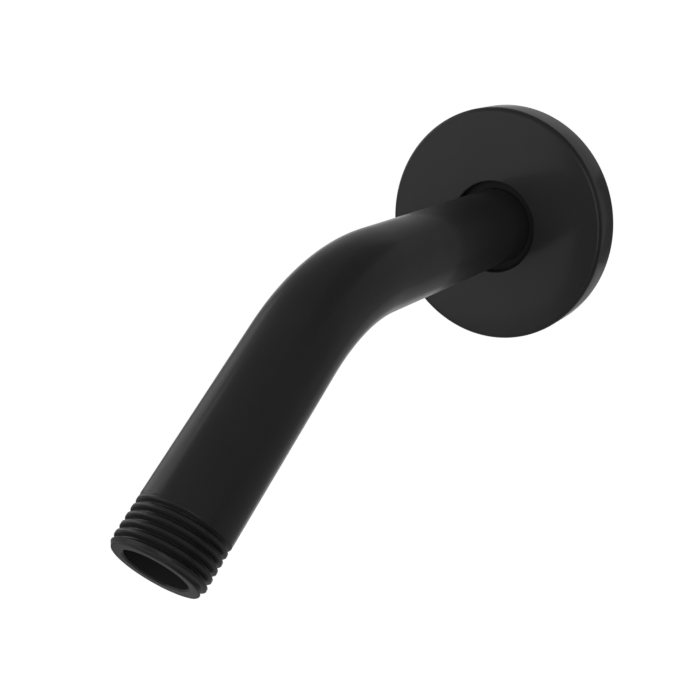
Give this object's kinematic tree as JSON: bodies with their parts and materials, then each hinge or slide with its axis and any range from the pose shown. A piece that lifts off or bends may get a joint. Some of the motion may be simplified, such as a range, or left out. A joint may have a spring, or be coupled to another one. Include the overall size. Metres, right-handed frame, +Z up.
{
  "type": "shower arm",
  "caption": "Bent, open tube that carries water from a wall outlet to a shower head, with a pipe thread on each end and a loose round flange that covers the hole in the wall.",
  "frame": {"origin": "on the tube's axis, in the plane of the finished wall, where the flange's back rim rests", "axes": "+Z up, +Y into the wall along the inlet, the arm leaves the wall along -Y and bends down in the plane X = 0"},
  "size_m": [0.065, 0.1745, 0.0835],
  "materials": {
    "black_coat": "satin black powder coat on steel",
    "rubber": "dull black rubber"
  },
  "bodies": {
    "arm": {"shower_arm": "black_coat"},
    "ring": {"grip_ring": "rubber"},
    "flange": {"wall_flange": "black_coat"}
  },
  "joints": [
    {"name": "flange_slide", "type": "slide", "parent": "arm", "child": "ring", "axis": [0, -1, 0], "range_m": [0, 0.06]},
    {"name": "flange_turn", "type": "hinge", "parent": "ring", "child": "flange", "pos_m": [0, 0, 0], "axis": [0, -1, 0], "continuous": true}
  ]
}
